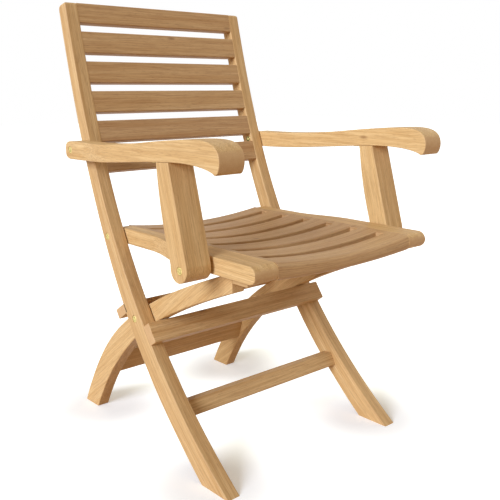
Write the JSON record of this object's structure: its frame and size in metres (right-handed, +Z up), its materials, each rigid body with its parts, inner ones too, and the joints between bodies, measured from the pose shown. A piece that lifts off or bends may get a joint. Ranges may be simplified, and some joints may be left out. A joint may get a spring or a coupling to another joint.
{
  "type": "folding armchair",
  "caption": "Folding slatted teak garden armchair: bowed frame legs cross at pivot bolts, the dished seat lifts and the arms swing up with it.",
  "frame": {"origin": "on the floor under the middle of the chair's box", "axes": "+X to the chair's right as seen from the front, +Y to the back, +Z up"},
  "size_m": [0.592, 0.6334, 0.912],
  "materials": {
    "teak": "oiled teak, planed and sanded",
    "brass": "dull turned brass"
  },
  "bodies": {
    "back_frame": {"stile_left": "teak", "stile_right": "teak", "back_slat_1": "teak", "back_slat_2": "teak", "back_slat_3": "teak", "back_slat_4": "teak", "back_slat_5": "teak", "back_slat_6": "teak", "crossbar_front": "teak", "crossbar_rear": "teak", "stretcher_front": "teak", "arm_nut_left": "brass", "arm_nut_right": "brass", "leg_bolt_left": "brass", "leg_bolt_right": "brass"},
    "seat": {"seat_rail_left": "teak", "seat_rail_right": "teak", "seat_slat_1": "teak", "seat_slat_2": "teak", "seat_slat_3": "teak", "seat_slat_4": "teak", "seat_slat_5": "teak", "seat_slat_6": "teak", "seat_slat_7": "teak", "seat_stop_left": "teak", "seat_stop_right": "teak", "seat_bolt_left": "brass", "seat_bolt_right": "brass", "seat_insert_left": "brass", "seat_insert_right": "brass", "seat_washer_left": "brass", "seat_washer_right": "brass", "post_bolt_left": "brass", "post_bolt_right": "brass", "post_insert_left": "brass", "post_insert_right": "brass", "post_spacer_left": "brass", "post_spacer_right": "brass"},
    "rear_legs": {"rear_leg_left": "teak", "rear_leg_right": "teak", "rear_leg_bar": "teak", "leg_insert_left": "brass", "leg_insert_right": "brass", "leg_washer_left": "brass", "leg_washer_right": "brass"},
    "arm_left": {"arm_left": "teak", "arm_bolt_left": "brass", "arm_washer_left": "brass", "hinge_arm_leaf_left": "brass", "hinge_pin_left": "brass"},
    "arm_right": {"arm_right": "teak", "arm_bolt_right": "brass", "arm_washer_right": "brass", "hinge_arm_leaf_right": "brass", "hinge_pin_right": "brass"},
    "post_left": {"post_left": "teak", "hinge_post_leaf_left": "brass"},
    "post_right": {"post_right": "teak", "hinge_post_leaf_right": "brass"}
  },
  "joints": [
    {"name": "seat_fold", "type": "hinge", "parent": "back_frame", "child": "seat", "pos_m": [0, 0.13981, 0.427], "axis": [-1, 0, 0], "range_deg": [0, 95]},
    {"name": "rear_legs_fold", "type": "hinge", "parent": "back_frame", "child": "rear_legs", "pos_m": [0, 0.04413, 0.27074], "axis": [-1, 0, 0], "range_deg": [0, 76]},
    {"name": "arm_left_fold", "type": "hinge", "parent": "back_frame", "child": "arm_left", "pos_m": [-0.27, 0.20739, 0.6055], "axis": [-1, 0, 0], "range_deg": [0, 95]},
    {"name": "arm_right_fold", "type": "hinge", "parent": "back_frame", "child": "arm_right", "pos_m": [0.27, 0.20739, 0.6055], "axis": [-1, 0, 0], "range_deg": [0, 95]},
    {"name": "post_left_fold", "type": "hinge", "parent": "seat", "child": "post_left", "pos_m": [-0.27, -0.19116, 0.4247], "axis": [-1, 0, 0], "range_deg": [-95, 0]},
    {"name": "post_right_fold", "type": "hinge", "parent": "seat", "child": "post_right", "pos_m": [0.27, -0.19116, 0.4247], "axis": [-1, 0, 0], "range_deg": [-95, 0]}
  ],
  "couplings": [
    {"joint": "rear_legs_fold", "follows": "seat_fold", "ratio": 0.8},
    {"joint": "arm_left_fold", "follows": "seat_fold", "ratio": 1},
    {"joint": "arm_right_fold", "follows": "seat_fold", "ratio": 1},
    {"joint": "post_left_fold", "follows": "seat_fold", "ratio": -1},
    {"joint": "post_right_fold", "follows": "seat_fold", "ratio": -1}
  ]
}
